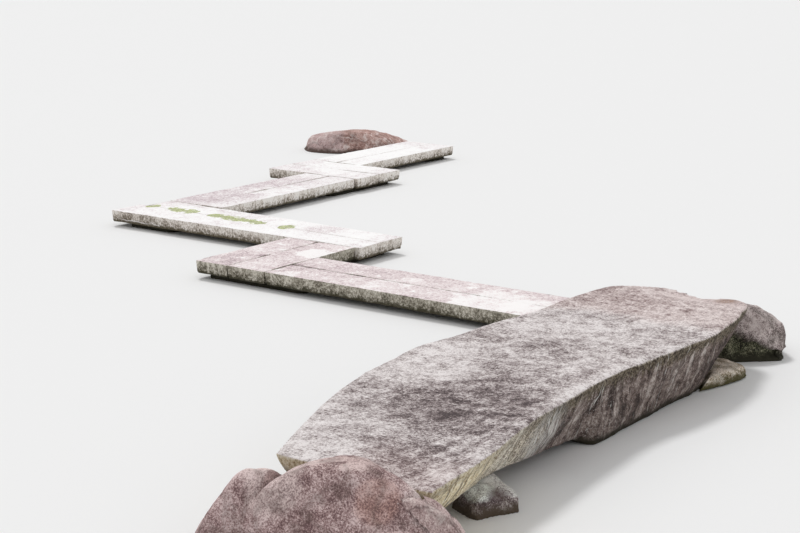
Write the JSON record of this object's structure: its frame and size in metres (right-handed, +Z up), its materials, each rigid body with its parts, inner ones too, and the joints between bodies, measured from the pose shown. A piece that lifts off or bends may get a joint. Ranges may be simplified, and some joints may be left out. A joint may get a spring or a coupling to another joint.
{
  "type": "zigzag stone plank bridge",
  "caption": "Low zigzag garden bridge of paired granite planks on pier stones, joined to a great natural slab between flanking stones.",
  "frame": {"origin": "on the water surface, at the middle of the first plank pair and over the pier stone of the first turn", "axes": "+X along the first plank pair towards the natural slab, +Y away from the near bank along the bridge, +Z up"},
  "size_m": [11.7206, 14.3247, 0.6949],
  "materials": {
    "granite_rose": "weathered split granite, rose grey, with pale worn tops and dark stained sides",
    "granite_pale": "weathered split granite, pale grey, bleached on top and stained on the sides",
    "pier_stone": "rough dark stone, wet at the water line",
    "slab_stone": "natural grey purple stone, mottled with pale lichen and rippled on top",
    "bearing_grey": "natural grey stone with a pale lichen top",
    "bearing_tan": "natural tan stone, mossy at the water line",
    "flank_purple": "natural purple brown stone, speckled",
    "foot_rose": "natural rose grey stone",
    "flank_dark": "natural dark brown stone, green below",
    "landing_rust": "natural rust brown stone with pale veins"
  },
  "bodies": {
    "root": {"plank_a_front": "granite_rose", "plank_a_rear": "granite_rose", "plank_b_left": "granite_rose", "plank_b_right": "granite_rose", "plank_c_front": "granite_pale", "plank_c_rear": "granite_pale", "plank_d_left": "granite_pale", "plank_d_right": "granite_pale", "plank_e_front": "granite_pale", "plank_e_rear": "granite_pale", "plank_f_left": "granite_pale", "plank_f_right": "granite_pale", "pier_slab": "pier_stone", "pier_turn_ab": "pier_stone", "pier_turn_bc": "pier_stone", "pier_turn_cd": "pier_stone", "pier_turn_de": "pier_stone", "pier_turn_ef": "pier_stone", "pier_landing": "pier_stone", "natural_slab": "slab_stone", "bearing_near_right": "bearing_grey", "bearing_near_left": "bearing_grey", "bearing_far_right": "bearing_tan", "bearing_far_left": "pier_stone", "flank_near": "flank_purple", "flank_tail": "flank_purple", "foot_stone": "foot_rose", "flank_far": "flank_dark", "landing_stone": "landing_rust"}
  },
  "joints": []
}
